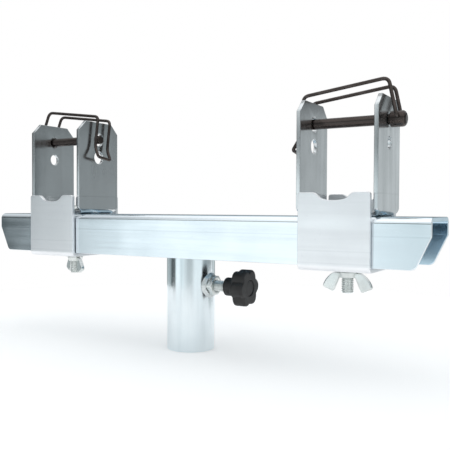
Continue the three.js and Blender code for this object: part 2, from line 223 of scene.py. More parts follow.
def black_oxide(name, grain):
    """Black oxide on drawn steel: glossy brown-black, with lighter streaks along the grain painted as sheen.
    """
    material, nodes, shader = new_material(name, 0.9)
    # Painted sheen: lighter noise patches, stretched along the grain, stand in for highlights.
    painted_sheen = nodes.remap(nodes.noise(scale=110, detail=3, stretch=grain), 0.5, 0.78, 0, 0.3)
    drawn = nodes.noise(scale=900, detail=2)
    tone = nodes.mix(nodes.noise(scale=40, detail=2), (0.050, 0.039, 0.036), (0.080, 0.066, 0.060))
    tone = nodes.mix(painted_sheen, tone, (0.20, 0.17, 0.16))
    connect(nodes, shader, Base_Color=tone, Roughness=nodes.remap(drawn, 0.3, 0.7, 0.18, 0.28),
            Normal=nodes.bump(drawn, 0.03, mm(0.1)))
    return material


def moulded_plastic():
    """Black glass-filled nylon: a fine sparkle of texture and slightly greyed high spots."""
    material, nodes, shader = new_material("moulded_black", 0.0)
    shader.inputs["Specular IOR Level"].default_value = 0.4
    texture = nodes.noise(scale=1800, detail=3)
    dust = nodes.remap(nodes.noise(scale=120, detail=3), 0.5, 0.8, 0, 0.3)
    tone = nodes.mix(dust, (0.022, 0.021, 0.021), (0.06, 0.058, 0.058))
    connect(nodes, shader, Base_Color=tone, Roughness=nodes.remap(texture, 0.3, 0.7, 0.42, 0.6),
            Normal=nodes.bump(texture, 0.25, mm(0.15)))
    return material


# How far a streak is squeezed along each axis: it runs along the axis with the small number.
STREAK_X, STREAK_Z, NO_STREAK = (0.04, 1, 1), (1, 1, 0.05), (1, 1, 1)
MATERIALS = {
    "channel": plated_steel(
        "blue_zinc_channel", (0.84, 0.885, 0.92), (0.79, 0.85, 0.89), (0.56, 0.62, 0.67), rough=0.15,
        grain=STREAK_X, spangle=0.1, marks=[CHANNEL_LOW.z + mm(24.3)],
        # inner paints the channel's inside darker blue, as painted shade.
        inner=(CHANNEL_HIGH.y - PLATE - mm(0.2), (0.48, 0.66, 0.78))),
    "tube": plated_steel(
        "blue_zinc_tube", (0.80, 0.86, 0.885), (0.74, 0.81, 0.84), (0.54, 0.60, 0.63), rough=0.15,
        grain=STREAK_Z, spangle=0.1),
    "saddle": plated_steel(
        "galvanised_saddle", (0.95, 0.955, 0.97), (0.90, 0.91, 0.93), (0.72, 0.73, 0.75), rough=0.4,
        grain=STREAK_X, spangle=0.15, marks=[CHANNEL_LOW.z + mm(12.4), CHANNEL_LOW.z + mm(2.8)]),
    # The fork's zinc is painted darker than the saddle's: painted shade for the dim studio its upright plates
    # reflect.
    "fork": plated_steel(
        "galvanised_fork_painted_shade", (0.70, 0.72, 0.73), (0.63, 0.65, 0.66), (0.46, 0.48, 0.48), rough=0.2,
        grain=STREAK_Z, spangle=0.15, marks=[CHANNEL_LOW.z + mm(57)]),
    "fastener": plated_steel(
        "bright_zinc", (0.80, 0.82, 0.80), (0.72, 0.75, 0.74), (0.5, 0.51, 0.49), rough=0.27,
        grain=NO_STREAK, spangle=0.2),
    "weld": plated_steel(
        "plated_weld", (0.80, 0.83, 0.83), (0.66, 0.69, 0.69), (0.38, 0.38, 0.36), rough=0.34,
        grain=NO_STREAK, spangle=0.6, texture=0.25),
    "wire": black_oxide("black_oxide_wire", NO_STREAK),
    "pin": black_oxide("black_oxide_pin", (0.1, 1, 1)),
    "plastic": moulded_plastic(),
}


# ---------------------------------------------------------------- mesh helpers
def add_piece(name, shell, material, body, node):
    """Makes a visible piece of a shell, riding on a body and standing for a CAD node."""
    verts, faces = shell
    mesh = bpy.data.meshes.new(name)
    mesh.from_pydata([tuple(vert) for vert in verts], [], faces)
    turned_out = bmesh.new()
    turned_out.from_mesh(mesh)
    bmesh.ops.recalc_face_normals(turned_out, faces=turned_out.faces)
    turned_out.to_mesh(mesh)
    turned_out.free()
    mesh.materials.append(MATERIALS[material])
    mesh.shade_smooth()
    piece = bpy.data.objects.new(name, mesh)
    bpy.context.scene.collection.objects.link(piece)
    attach(piece, body)
    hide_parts(node)
    return piece


def even_shading(piece):
    """Flat faces stay flat and only the small rounded edges between them shade smoothly."""
    modifier = piece.modifiers.new("even_shading", "WEIGHTED_NORMAL")
    modifier.weight = 100
    modifier.keep_sharp = True


def turns(sides):
    """The angles of a ring's vertices."""
    return [2 * math.pi * k / sides for k in range(sides)]


def along_x(radius, place, angle, height):
    """A point round an axis along X, which runs at the height."""
    return Vector((place, radius * math.cos(angle), height + radius * math.sin(angle)))


def along_z(radius, place, angle, centre_x=0.0):
    """A point round a vertical axis."""
    return Vector((centre_x + radius * math.cos(angle), radius * math.sin(angle), place))


def grid_faces(rings, columns):
    """Quads between rings of `columns` vertices each."""
    faces = []
    for ring in range(rings - 1):
        for k in range(columns):
            a, b = ring * columns + k, ring * columns + (k + 1) % columns
            faces.append((a, b, b + columns, a + columns))
    return faces


def shell_faces(rings, columns, looped=False):
    """The faces of a closed shell of rings. Its two ends are capped, or joined when looped."""
    last = (rings - 1) * columns
    faces = grid_faces(rings, columns)
    if looped:
        return faces + [(last + k, last + (k + 1) % columns, (k + 1) % columns, k) for k in range(columns)]
    return faces + [tuple(reversed(range(columns))), tuple(range(last, last + columns))]


def turned_x(profile, height, sides=48):
    """A body of revolution round an axis along X. The profile is [(radius, x)] from end to end."""
    verts = [along_x(radius, x, angle, height) for radius, x in profile for angle in turns(sides)]
    return verts, shell_faces(len(profile), sides)


def turned_z(profile, centre_x, sides, looped=False):
    """A body of revolution round a vertical axis. The profile is [(radius, z)], closed when looped."""
    verts = [along_z(radius, z, angle, centre_x) for radius, z in profile for angle in turns(sides)]
    return verts, shell_faces(len(profile), sides, looped)


def merge(*shells):
    """Several shells as one."""
    verts, faces = [], []
    for shell_verts, shell_part_faces in shells:
        offset = len(verts)
        verts += shell_verts
        faces += [tuple(i + offset for i in face) for face in shell_part_faces]
    return verts, faces


def arc(centre, radius, start, end, steps):
    """Points on a circle between two angles in degrees, as (a, b) pairs."""
    angles = [math.radians(start + (end - start) * i / steps) for i in range(steps + 1)]
    return [(centre[0] + radius * math.cos(a), centre[1] + radius * math.sin(a)) for a in angles]


def bezier(a, b, c, steps=10):
    """Points of the quadratic curve from a to c, pulled towards b."""
    return [tuple(a[k] * (1 - t) ** 2 + 2 * b[k] * t * (1 - t) + c[k] * t * t for k in (0, 1))
            for t in (i / steps for i in range(steps + 1))]


def inset(loop, amount):
    """Moves a loop to its left by amount, mitred at its corners."""
    sharpest = 0.4  # keeps the mitre of a very sharp corner short
    moved = []
    for i, here in enumerate(loop):
        before, after = Vector(loop[i - 1]), Vector(loop[(i + 1) % len(loop)])
        here = Vector(here)
        one, two = (here - before).normalized(), (after - here).normalized()
        left = Vector((-one.y - two.y, one.x + two.x)).normalized()
        moved.append(here + left * amount / max(sharpest, left.dot(Vector((-one.y, one.x)))))
    return moved


def rounded_rim(thickness, edge):
    """The rim of a plate with rounded edges, as (inset, depth) from one face to the other."""
    near = [(edge, 0.0), (edge * ROUND_MIDDLE, edge * ROUND_MIDDLE), (0.0, edge)]
    return near + [(amount, thickness - depth) for amount, depth in reversed(near)]


def upright_plate(outline, thickness, edge):
    """A flat outline in (x, z), counter-clockwise with x to the right, made thick evenly about y = 0."""
    rim = rounded_rim(thickness, edge)
    verts = []
    for amount, depth in rim:
        verts += [Vector((x, depth - thickness / 2, z)) for x, z in inset(outline, amount)]
    return verts, shell_faces(len(rim), len(outline))


def cut(shell, tool):
    """The closed shell less the closed tool."""
    bodies = []
    for verts, faces in (shell, tool):
        mesh = bpy.data.meshes.new("cut")
        mesh.from_pydata([tuple(vert) for vert in verts], [], faces)
        body = bpy.data.objects.new("cut", mesh)
        bpy.context.scene.collection.objects.link(body)
        bodies.append(body)
    modifier = bodies[0].modifiers.new("cut", "BOOLEAN")
    modifier.operation = "DIFFERENCE"
    modifier.solver = "EXACT"
    modifier.object = bodies[1]
    result = bodies[0].evaluated_get(bpy.context.evaluated_depsgraph_get()).to_mesh()
    verts = [vertex.co.copy() for vertex in result.vertices]
    faces = [tuple(face.vertices) for face in result.polygons]
    for body in bodies:
        bpy.data.objects.remove(body)
    return verts, faces


# ---------------------------------------------------------------- folded sheet
class Fold:
    """A sheet folded into a U. Flat pattern coordinates are u across the folds and v along them.

    The web's outer face is at height `web` and the flanges point towards `up` (+1 or -1).
    """

    def __init__(self, inner_width, web, up, bend, run_axis, centre):
        self.half = inner_width / 2 + PLATE
        self.flat = self.half - bend
        self.bend, self.web, self.up = bend, web, up
        self.run_axis, self.centre = run_axis, centre

    def u_at(self, depth):
        """The pattern's u where the flange's outer face is `depth` from the web's outer face."""
        if depth < self.bend:
            return self.flat + self.bend * math.acos(1 - depth / self.bend)
        return self.flat + self.bend * math.pi / 2 + depth - self.bend

    def stations(self):
        """The u of each crease of both rounded bends, from one flange to the other."""
        step = self.bend * math.pi / 2 / BEND_STEPS
        positive = [self.flat + step * i for i in range(BEND_STEPS + 1)]
        return [-u for u in reversed(positive)] + positive

    def __call__(self, u, v, depth):
        """The folded place of a pattern point, `depth` inside the outer face."""
        side, u = math.copysign(1, u), abs(u)
        if u <= self.flat:
            across, down = u, depth
        elif u <= self.flat + self.bend * math.pi / 2:
            angle = (u - self.flat) / self.bend
            across = self.flat + (self.bend - depth) * math.sin(angle)
            down = self.bend - (self.bend - depth) * math.cos(angle)
        else:
            across = self.half - depth
            down = self.bend + u - self.flat - self.bend * math.pi / 2
        height = self.web + self.up * down
        if self.run_axis == "x":
            return Vector((self.centre + v, side * across, height))
        return Vector((self.centre + side * across, v, height))


def inside(point, loop):
    """Whether a loop goes round the point: a ray from the point crosses it an odd number of times."""
    hit = False
    x, y = point
    for i in range(len(loop)):
        (x1, y1), (x2, y2) = loop[i - 1], loop[i]
        if (y1 > y) != (y2 > y) and x < (x2 - x1) * (y - y1) / (y2 - y1) + x1:
            hit = not hit
    return hit


def on_sheet(point, outline, holes):
    """Whether the point is inside the outline and in no hole."""
    return inside(point, outline) and not any(inside(point, hole) for hole in holes)


def split_at(loop, stations):
    """Adds a vertex wherever an edge of the loop crosses one of the u stations."""
    level, corner = 1e-9, 1e-4  # an edge along a station, or a crossing at a corner, is left as it is
    result = []
    for i, here in enumerate(loop):
        following = loop[(i + 1) % len(loop)]
        result.append(here)
        span = following[0] - here[0]
        if abs(span) < level:
            continue
        cuts = [(u - here[0]) / span for u in stations]
        for t in sorted(t for t in cuts if corner < t < 1 - corner):
            result.append((here[0] + span * t, here[1] + (following[1] - here[1]) * t))
    return result


def folded_sheet(fold, outline, holes, pitch=mm(12), margin=mm(0.8)):
    """The shell of a folded sheet with rounded rims.

    The outline runs counter-clockwise in (u, v), the holes clockwise. Along the creases a vertex
    comes every pitch, and none lies nearer to the outline's rim than the margin.
    """
    rim = rounded_rim(PLATE, EDGE)
    outline = split_at(outline, fold.stations())
    verts, faces, loops = [], [], []
    flat, edges, top, bottom = [], [], [], []  # of the pattern's face: points, edges and their vertices
    for loop in [outline] + holes:
        count, start, first = len(loop), len(verts), len(flat)
        for amount, depth in rim:
            verts += [fold(u, v, depth) for u, v in inset(loop, amount)]
        faces += [tuple(start + i for i in quad) for quad in grid_faces(len(rim), count)]
        loops.append([tuple(point) for point in inset(loop, EDGE)])
        flat += loops[-1]
        edges += [(first + i, first + (i + 1) % count) for i in range(count)]
        top += range(start, start + count)
        bottom += range(start + (len(rim) - 1) * count, start + len(rim) * count)

    low, high = min(v for _, v in outline), max(v for _, v in outline)
    steps = max(2, round((high - low) / pitch))
    safe = inset(outline, EDGE + margin)
    for u in fold.stations():
        previous = None
        for v in (low + (high - low) * j / steps for j in range(1, steps)):
            if not on_sheet((u, v), safe, loops[1:]):
                previous = None
                continue
            if previous is not None:
                edges.append((previous, len(flat)))
            previous = len(flat)
            flat.append((u, v))
            top.append(len(verts))
            bottom.append(len(verts) + 1)
            verts += [fold(u, v, 0.0), fold(u, v, PLATE)]

    to_mm = 1000.0  # the triangulation's tolerances suit millimetres
    points, _, triangles, sources, _, _ = delaunay_2d_cdt(
        [Vector(point) * to_mm for point in flat], edges, [], 0, 1e-5)
    for triangle in triangles:
        middle = sum((points[i] for i in triangle), Vector((0, 0))) / (3 * to_mm)
        if on_sheet(middle, loops[0], loops[1:]):
            a, b, c = (sources[i][0] for i in triangle)
            faces += [(top[a], top[b], top[c]), (bottom[a], bottom[c], bottom[b])]
    return verts, faces


def circle(centre, radius, count=48):
    """A hole: a clockwise loop in (u, v)."""
    return [(centre[0] + radius * math.cos(angle), centre[1] - radius * math.sin(angle))
            for angle in turns(count)]


def mirrored(half):
    """A whole outline, from its half with u above zero."""
    return half + [(-u, v) for u, v in reversed(half)]


# ---------------------------------------------------------------- bar, saddles and forks
def channel_corner(drop, end, inward):
    """Points of one flange corner as (distance below the web, x), from the end inwards."""
    slant = math.degrees(math.atan2(END_RISE, END_RUN))
    tangent = END_FOOT * math.tan(math.radians(slant / 2))
    centre = (drop - END_FOOT, end + inward * (END_RUN + tangent))
    return [(drop - END_RISE, end)] + arc(centre, END_FOOT, -inward * slant, 0, 8)


def channel_piece():
    """The bar: an inverted U with slanted corners and two slots for the clamp bolts."""
    low, high = CHANNEL_LOW, CHANNEL_HIGH
    fold = Fold(high.y - low.y - 2 * PLATE, high.z, -1, BEAM_BEND, "x", 0.0)
    drop = high.z - low.z
    flange = channel_corner(drop, low.x, 1) + channel_corner(drop, high.x, -1)[::-1]
    outline = mirrored([(fold.u_at(depth), x) for depth, x in flange])
    radius = SLOT_WIDTH / 2
    slots = []
    for side in (-1, 1):
        near, far = sorted((side * (SLOT_INNER + radius), side * (SLOT_OUTER - radius)))
        slot = arc((0, far), radius, 0, 180, 16) + arc((0, near), radius, 180, 360, 16)
        slots.append(slot[::-1])
    shell = folded_sheet(fold, outline, slots)
    even_shading(add_piece("channel_steel", shell, "channel", "frame", "crossbar_channel"))


def carriage_centre(side):
    """The x of a carriage's middle, where its clamp bolt is."""
    low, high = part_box(f"{side}_saddle")
    return (low.x + high.x) / 2


def saddle_piece(side):
    """A U under and beside the bar, with a shallow notch in the top edge of each wall."""
    low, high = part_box(f"{side}_saddle")
    fold = Fold(high.y - low.y - 2 * PLATE, low.z, 1, CARRIAGE_BEND, "x", carriage_centre(side))
    half, top = (high.x - low.x) / 2, high.z - low.z
    lip, shoulder, waist, floor = (NOTCH_HALF * share for share in (1.05, 0.88, 0.72, 0.56))
    edge = arc((half - SADDLE_CORNER, top - SADDLE_CORNER), SADDLE_CORNER, 0, 90, 6)
    edge += bezier((lip, top), (shoulder, top), (waist, top - NOTCH_DIP / 2))
    edge += bezier((waist, top - NOTCH_DIP / 2), (floor, top - NOTCH_DIP), (0.0, top - NOTCH_DIP))[1:]
    edge += [(-x, depth) for x, depth in reversed(edge[:-1])]
    outline = mirrored([(fold.u_at(depth), x) for x, depth in reversed(edge)])
    shell = folded_sheet(fold, outline, [circle((0, 0), BOLT_HOLE)])
    even_shading(add_piece(f"{side}_saddle_steel", shell, "saddle", f"{side}_carriage",
                           f"{side}_saddle"))


def fork_piece(side):
    """A U above the bar, with chamfered tips and two pairs of pin holes."""
    low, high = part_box(f"{side}_fork")
    pin_low, pin_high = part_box(f"{side}_pin")
    fold = Fold(high.x - low.x - 2 * PLATE, low.z, 1, CARRIAGE_BEND, "y", (low.x + high.x) / 2)
    half, top = (high.y - low.y) / 2, high.z - low.z
    relief = [FORK_RELIEF * i / 5 for i in range(6)]
    edge = [(depth, half - FORK_RELIEF + depth) for depth in relief]
    edge += [(top - FORK_CHAMFER, half), (top, half - FORK_CHAMFER)]
    right = [(fold.u_at(depth), v) for depth, v in edge]
    outline = mirrored([(u, -v) for u, v in right] + right[::-1])
    pin_height = (pin_low.z + pin_high.z) / 2 - low.z
    holes = [circle((0, 0), FORK_BOLT_HOLE, 32)]
    for height in (pin_height, pin_height - PIN_HOLE_SPACING):
        for facing in (-1, 1):
            radius = PIN_HOLE if facing == OUTWARD[side] else CLIP_HOLE
            holes.append(circle((facing * fold.u_at(height), 0), radius))
    shell = folded_sheet(fold, outline, holes)
    even_shading(add_piece(f"{side}_fork_steel", shell, "fork", f"{side}_carriage",
                           f"{side}_fork"))


# ---------------------------------------------------------------- threads and fasteners
def thread_radius(turn):
    """The radius of a rounded 60 degree thread. A whole turn goes from root to crest to root."""
    crest, flank = 0.12, 0.76  # shares of half a pitch
    wave = abs(2 * (turn % 1.0) - 1)
    return SCREW / 2 - THREAD_DEPTH * min(1.0, max(0.0, (wave - crest) / flank))


def threaded_rod(start, end, along, offset, sides=32, rings_per_turn=8):
    """A helical thread with chamfered ends. `along` is along_x or along_z, and offset its last value."""
    count = round(abs(end - start) / PITCH * rings_per_turn)
    verts = []
    for i in range(count + 1):
        place = start + (end - start) * i / count
        chamfered = SCREW / 2 - THREAD_DEPTH + min(abs(place - start), abs(end - place))
        for k, angle in enumerate(turns(sides)):
            radius = thread_radius(abs(place - start) / PITCH - k / sides)
            verts.append(along(min(radius, chamfered), place, angle, offset))
    return verts, shell_faces(count + 1, sides)


def wing_nut_piece(side):
    """Two broad blunt wings on a low hub, pointing down."""
    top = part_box(f"{side}_wing_nut")[1].z
    bottom = top - WING_HUB_HEIGHT
    hub = [(mm(5.1), bottom), (mm(5.6), bottom - mm(0.2)), (mm(6.4), bottom), (mm(6.9), bottom + mm(0.8)),
           (mm(7.7), top - mm(1.2)), (mm(8), top - mm(0.4)), (mm(7.7), top), (mm(5.2), top)]
    wing = [(5.2, -0.3), (9, -0.4)]  # (outwards, above the top), in millimetres, clockwise
    wing += bezier((12.2, -0.8), (18.2, -4.6), (20.8, -11))
    wing += bezier((20.8, -11.4), (21.1, -12.9), (19.7, -13.6), 4)
    wing += bezier((14, -16), (11.9, -16.8), (11.2, -15), 6)
    wing += [(9.6, -11.3), (8, -7.6), (7.2, -5.6), (6.4, -4.4), (5.2, -4.2)]
    left_wing = [(-mm(out), top + mm(rise)) for out, rise in wing]
    right_wing = [(mm(out), top + mm(rise)) for out, rise in reversed(wing)]
    verts, faces = merge(turned_z(hub, 0.0, 48, True), upright_plate(left_wing, WING_THICKNESS, WING_EDGE),
                         upright_plate(right_wing, WING_THICKNESS, WING_EDGE))
    spin = Matrix.Translation((carriage_centre(side), 0, 0)) @ Matrix.Rotation(WING_TURN[side], 4, "Z")
    shell = ([spin @ vert for vert in verts], faces)
    even_shading(add_piece(f"{side}_wing_nut_casting", shell, "fastener", f"{side}_wing_nut",
                           f"{side}_wing_nut"))


def dome_profile(radius, base, rise, steps=8):
    """A quarter ellipse as [(radius, z)], from the rim to just short of the middle."""
    return [(radius * math.cos(angle), base + rise * math.sin(angle))
            for angle in (math.pi / 2 * i / steps for i in range(steps))]


def clamp_bolt_piece(side):
    """A coach bolt, with its domed head on the web and its thread down through the saddle."""
    low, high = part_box(f"{side}_clamp_bolt")
    centre, thread_top = carriage_centre(side), CHANNEL_LOW.z + mm(12)
    shank, head, ease, rim, dome = mm(4.9), mm(12), mm(0.4), mm(1), mm(3.6)
    seat = high.z - dome - rim
    profile = [(shank, thread_top - mm(0.5)), (shank, seat), (head - ease, seat), (head, seat + ease)]
    profile += dome_profile(head, seat + rim, dome)
    profile.append((mm(0.5), high.z))
    shell = merge(threaded_rod(low.z, thread_top, along_z, centre), turned_z(profile, centre, 48))
    even_shading(add_piece(f"{side}_coach_bolt", shell, "fastener", f"{side}_carriage",
                           f"{side}_clamp_bolt"))


def washer_piece(side):
    """A flat washer with eased outer edges."""
    low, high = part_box(f"{side}_washer")
    outer, inner, ease = (high.x - low.x) / 2, BOLT_HOLE, mm(0.3)
    profile = [(inner, low.z), (outer - ease, low.z), (outer, low.z + ease), (outer, high.z - ease),
               (outer - ease, high.z), (inner, high.z)]
    shell = turned_z(profile, carriage_centre(side), 64, True)
    even_shading(add_piece(f"{side}_flat_washer", shell, "fastener", f"{side}_washer_travel",
                           f"{side}_washer"))


# ---------------------------------------------------------------- lock pins and bails
def pin_pieces(side):
    """The round bar through the fork, and the head in which the bail swings."""
    low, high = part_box(f"{side}_pin")
    height, radius = (low.z + high.z) / 2, (high.z - low.z) / 2
    profile = [(radius - amount, low.x + run) for amount, run in rounded_rim(high.x - low.x, mm(1))]
    even_shading(add_piece(f"{side}_pin_bar", turned_x(profile, height), "pin", f"{side}_lock_pin",
                           f"{side}_pin"))

    low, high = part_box(f"{side}_pin_head")
    start = low.x if OUTWARD[side] > 0 else high.x
    head, length = (high.y - low.y) / 2, high.x - low.x
    crown = [(0.8, 0), (0.2, 0.2), (0, 0.8), (0, 9.2), (0.2, 10.2), (0.9, 11.2), (2.0, 11.9)]  # (in, along)
    profile = [(head - mm(amount), start + OUTWARD[side] * mm(run)) for amount, run in crown]
    profile.append((head - mm(3.4), start + OUTWARD[side] * length))
    even_shading(add_piece(f"{side}_pin_head_steel", turned_x(profile, height), "pin", f"{side}_lock_pin",
                           f"{side}_pin_head"))


def rounded_path(points, radii, steps=6):
    """The path through points with each inner corner replaced by an arc-like curve."""
    most = 0.48  # the share of a straight run that one corner may use
    path = [points[0]]
    for i in range(1, len(points) - 1):
        here = points[i]
        back, ahead = points[i - 1] - here, points[i + 1] - here
        reach = min(radii[i], back.length * most, ahead.length * most)
        a, b = here + back.normalized() * reach, here + ahead.normalized() * reach
        for t in (k / steps for k in range(steps + 1)):
            path.append(a * (1 - t) ** 2 + here * 2 * t * (1 - t) + b * t * t)
    path.append(points[-1])
    return path


def swept(path, radius, sides=14):
    """A round wire along a path, without twist."""
    runs = [(b - a).normalized() for a, b in zip(path, path[1:])]
    across = runs[0].orthogonal().normalized()
    verts = []
    for i, point in enumerate(path):
        tangent = (runs[max(i - 1, 0)] + runs[min(i, len(runs) - 1)]).normalized()
        across = (across - tangent * across.dot(tangent)).normalized()
        up = tangent.cross(across)
        verts += [point + (across * math.cos(angle) + up * math.sin(angle)) * radius
                  for angle in turns(sides)]
    return verts, shell_faces(len(path), sides)


def bail_piece(side):
    """The bent wire that swings on the pin head and closes over the fork, leaning to one side."""
    head_low, head_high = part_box(f"{side}_pin_head")
    pin_low, pin_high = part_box(f"{side}_pin")
    face = head_low.x if OUTWARD[side] > 0 else head_high.x
    into_head = mm(6.6)
    pivot_x = face + OUTWARD[side] * into_head
    drop = BAIL_EXTRA_DROP[side]
    # In millimetres: the distances of a leg and of the wire's end from the middle plane, and the leg's
    # corners as (inwards from the pivot, up from it), with the bend at each.
    half_gap, stub = 9.0, 1.6
    leg = [(0, 0), (8.2, 31.2), (79, 21.8), (79, -9.7 - drop), (84.6, -20 - drop)]
    leg_bends = [1.6, 5.5, 4.5, 4.0, 2.6]

    def at(run, rise, y):
        return Vector((pivot_x - OUTWARD[side] * mm(run), mm(y), mm(rise)))

    points = [at(0, 0, -stub)] + [at(run, rise, -half_gap) for run, rise in leg]
    points += [at(run, rise, half_gap) for run, rise in reversed(leg)] + [at(0, 0, stub)]
    bends = [0.0] + [mm(bend) for bend in leg_bends + leg_bends[::-1]] + [0.0]
    verts, faces = swept(rounded_path(points, bends), BAIL_WIRE / 2)
    height = (pin_low.z + pin_high.z) / 2
    lean = Matrix.Translation((0, 0, height)) @ Matrix.Rotation(-BAIL_LEAN[side], 4, "X")
    shell = ([lean @ vert for vert in verts], faces)
    add_piece(f"{side}_bail_wire", shell, "wire", f"{side}_bail", f"{side}_bail")


# ---------------------------------------------------------------- socket and its welds
def tube_surface(y, gap):
    """The x at y of a cylinder just outside the tube's outer face, by gap, on the clamp's side."""
    return math.sqrt((TUBE_RADIUS + gap) ** 2 - y ** 2)


def socket_piece():
    """The tube, with an eased lip at both ends and the clamp screw's hole."""
    low, high = TUBE_LOW.z, TUBE_HIGH.z
    stud_low, stud_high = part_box("clamp_stud")
    outer, inner, ease = TUBE_RADIUS, TUBE_BORE, mm(0.6)
    middle = ease * ROUND_MIDDLE
    profile = [(inner, low + ease), (inner + ease, low), (outer - ease, low), (outer - middle, low + middle),
               (outer, low + ease), (outer, high - ease), (outer - ease, high), (inner + ease, high),
               (inner, high - ease)]
    hole, beyond = SCREW / 2 + mm(0.4), mm(4)
    drill = turned_x([(hole, inner - beyond), (hole, outer + beyond)], (stud_low.z + stud_high.z) / 2)
    shell = cut(turned_z(profile, 0.0, 128, True), drill)
    even_shading(add_piece("socket_steel", shell, "tube", "frame", "socket_tube"))


def socket_weld_piece():
    """A rippled fillet between the tube and the underside of the web."""
    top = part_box("socket_weld")[1].z
    inner, leg_out, leg_down = TUBE_RADIUS + mm(0.1), mm(2.5), mm(3.4)
    sides, rings = 160, 9
    beads, uneven = 46, 0.08
    verts = []
    for ring in range(rings):
        rise = math.pi / 2 * ring / (rings - 1)
        for angle in turns(sides):
            lump = noise.noise(Vector((math.cos(angle) * 4, math.sin(angle) * 4, ring * 0.3)))
            ripple = 1 + uneven * math.sin(angle * beads + 2 * math.cos(angle * 3)) + uneven * lump
            radius = inner + leg_out * math.sin(rise) * ripple
            verts.append(along_z(radius, top - leg_down * math.cos(rise) * ripple, angle))
    verts += [along_z(inner, top, angle) for angle in turns(sides)]
    shell = (verts, shell_faces(rings + 1, sides, True))
    add_piece("socket_weld_bead", shell, "weld", "frame", "socket_weld")


def clamp_nut_piece():
    """A chamfered hexagon nut whose back follows the tube."""
    low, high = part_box("clamp_nut")
    height, flats = (low.z + high.z) / 2, (high.z - low.z) / 2
    bore, countersink, chamfer_slope = SCREW / 2 + mm(0.05), mm(0.7), mm(9)

    def outside(angle, level):
        hexagon = flats / math.cos(angle % (math.pi / 3) - math.pi / 6)
        return min(hexagon, flats * 0.97 + (1 - level) * chamfer_slope)

    def hole(angle, level):
        return bore + (countersink if level == 1.0 else 0.0)

    sides = 96
    rings = [(outside, level) for level in (1.0, 0.93, 0.86, 0.8, 0.4, 0.0)]  # level 1 is the nut's front
    rings += [(hole, level) for level in (0.0, 0.85, 1.0)]  # back to the front through the hole
    verts = []
    for radius, level in rings:
        for angle in turns(sides):
            vert = along_x(radius(angle, level), 0.0, angle, height)
            back = tube_surface(vert.y, mm(0.05))
            vert.x = back + (high.x - back) * level
            verts.append(vert)
    shell = (verts, shell_faces(len(rings), sides, True))
    even_shading(add_piece("clamp_nut_steel", shell, "fastener", "frame", "clamp_nut"))


def nut_weld_piece():
    """A hand-laid fillet round the nut, following the tube's curve."""
    low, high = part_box("nut_weld")
    nut_low, nut_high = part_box("clamp_nut")
    height = (low.z + high.z) / 2
    outer, inner = (high.z - low.z) / 2, (nut_high.y - nut_low.y) / 2 - mm(0.6)
    sides, rings = 120, 9
    beads, bead_depth, lump_size, lump_depth = 27, 0.16, 2.2, 0.5
    leg, bulge, wander = mm(2.6), 1.3, mm(0.6)
    gap, buried = -mm(0.05), mm(0.1)
    verts = []
    for ring in range(rings):
        share = ring / (rings - 1)
        for angle in turns(sides):
            lump = noise.noise(Vector((math.cos(angle) * lump_size, math.sin(angle) * lump_size, share)))
            ripple = bead_depth * math.sin(angle * beads + 1.5 * math.sin(angle * 2)) + lump_depth * lump
            reach = outer - (outer - inner) * share + wander * ripple * (1 - share)
            rise = leg * math.sin(share * math.pi / 2) ** bulge * (1 + 0.4 * ripple)
            vert = along_x(reach, 0.0, angle, height)
            vert.x = tube_surface(vert.y, gap) + rise
            verts.append(vert)
    for radius in (inner, outer):
        for angle in turns(sides):
            vert = along_x(radius, 0.0, angle, height)
            vert.x = tube_surface(vert.y, gap) - buried
            verts.append(vert)
    shell = (verts, shell_faces(rings + 2, sides, True))
    add_piece("nut_weld_bead", shell, "weld", "frame", "nut_weld")


# ---------------------------------------------------------------- clamp screw and knob
def clamp_screw_piece():
    """The threaded stud through the nut, with its end hidden in the knob."""
    low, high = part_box("clamp_stud")
    in_knob = mm(2)
    shell = threaded_rod(low.x, high.x + in_knob, along_x, (low.z + high.z) / 2)
    even_shading(add_piece("clamp_thread", shell, "fastener", "clamp_screw", "clamp_stud"))


def knob_lobe(angle):
    """The radius of the knob's outline at an angle."""
    fullness = 0.6  # below 1 the lobes are broad and the hollows between them narrow
    phase = math.cos(KNOB_LOBES * (angle - KNOB_FIRST_LOBE))
    return KNOB_TIP - KNOB_LOBE_DEPTH * (1 - ((1 + phase) / 2) ** fullness)


